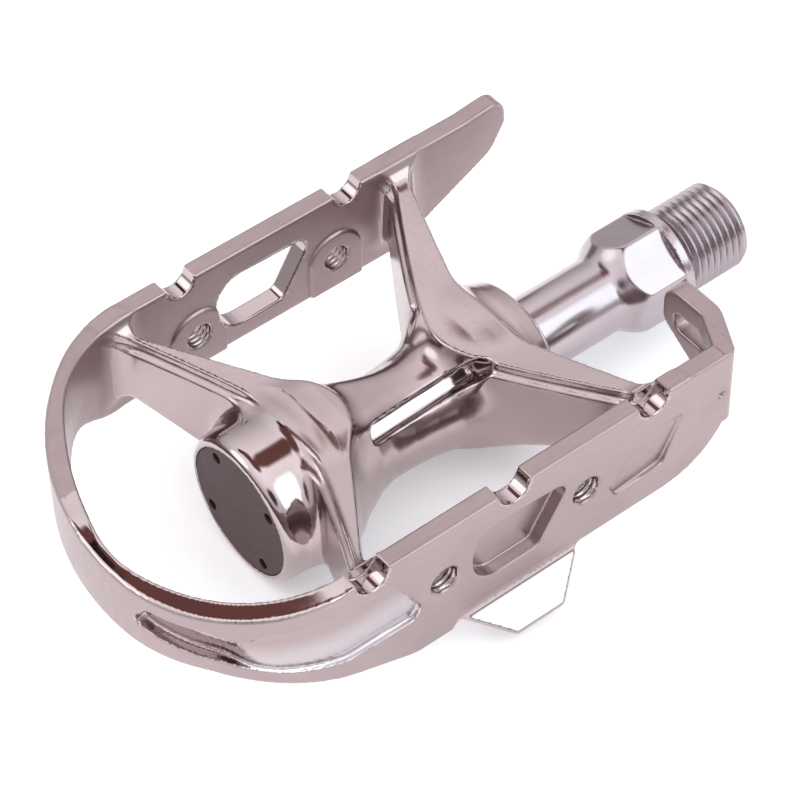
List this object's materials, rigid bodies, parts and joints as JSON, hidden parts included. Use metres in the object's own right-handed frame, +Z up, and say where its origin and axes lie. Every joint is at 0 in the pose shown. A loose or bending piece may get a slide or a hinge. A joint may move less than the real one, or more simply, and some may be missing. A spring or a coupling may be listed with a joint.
{
  "type": "bicycle platform pedal",
  "caption": "Quill-type alloy bicycle pedal for toe clips and straps, left side: one-piece cage and barrel turning on ball bearings about a threaded steel spindle.",
  "frame": {"origin": "on the spindle axis, at the shoulder that seats on the crank arm", "axes": "+X along the spindle towards the crank, +Y towards the toe end, +Z up with the cage level"},
  "size_m": [0.1199, 0.0686, 0.0288],
  "materials": {
    "cage_alloy": "satin faces machined on the plates, bright polished barrel and arms",
    "spindle_steel": "ground and plated steel",
    "bearing_steel": "hardened, ground",
    "zinc_steel": "zinc plated",
    "seal_steel": "pressed steel ring",
    "ball_steel": "polished balls",
    "cap_plastic": "dark moulded cap"
  },
  "bodies": {
    "axle": {"spindle": "spindle_steel", "outer_cone": "bearing_steel", "lock_washer": "zinc_steel", "lock_nut": "zinc_steel"},
    "cage": {"body": "cage_alloy", "inner_cup": "bearing_steel", "outer_cup": "bearing_steel", "dust_cap": "cap_plastic", "dust_seal": "seal_steel"},
    "inner_balls": {"inner_ball_01": "ball_steel", "inner_ball_02": "ball_steel", "inner_ball_03": "ball_steel", "inner_ball_04": "ball_steel", "inner_ball_05": "ball_steel", "inner_ball_06": "ball_steel", "inner_ball_07": "ball_steel", "inner_ball_08": "ball_steel", "inner_ball_09": "ball_steel", "inner_ball_10": "ball_steel", "inner_ball_11": "ball_steel", "inner_ball_12": "ball_steel"},
    "outer_balls": {"outer_ball_01": "ball_steel", "outer_ball_02": "ball_steel", "outer_ball_03": "ball_steel", "outer_ball_04": "ball_steel", "outer_ball_05": "ball_steel", "outer_ball_06": "ball_steel", "outer_ball_07": "ball_steel", "outer_ball_08": "ball_steel", "outer_ball_09": "ball_steel", "outer_ball_10": "ball_steel"}
  },
  "joints": [
    {"name": "cage_spin", "type": "hinge", "parent": "axle", "child": "cage", "pos_m": [-0.052, 0, 0], "axis": [1, 0, 0], "continuous": true},
    {"name": "inner_balls_spin", "type": "hinge", "parent": "axle", "child": "inner_balls", "pos_m": [-0.034, 0, 0], "axis": [1, 0, 0], "continuous": true},
    {"name": "outer_balls_spin", "type": "hinge", "parent": "axle", "child": "outer_balls", "pos_m": [-0.0666, 0, 0], "axis": [1, 0, 0], "continuous": true}
  ],
  "couplings": [
    {"joint": "inner_balls_spin", "follows": "cage_spin", "ratio": 0.59},
    {"joint": "outer_balls_spin", "follows": "cage_spin", "ratio": 0.6063}
  ]
}
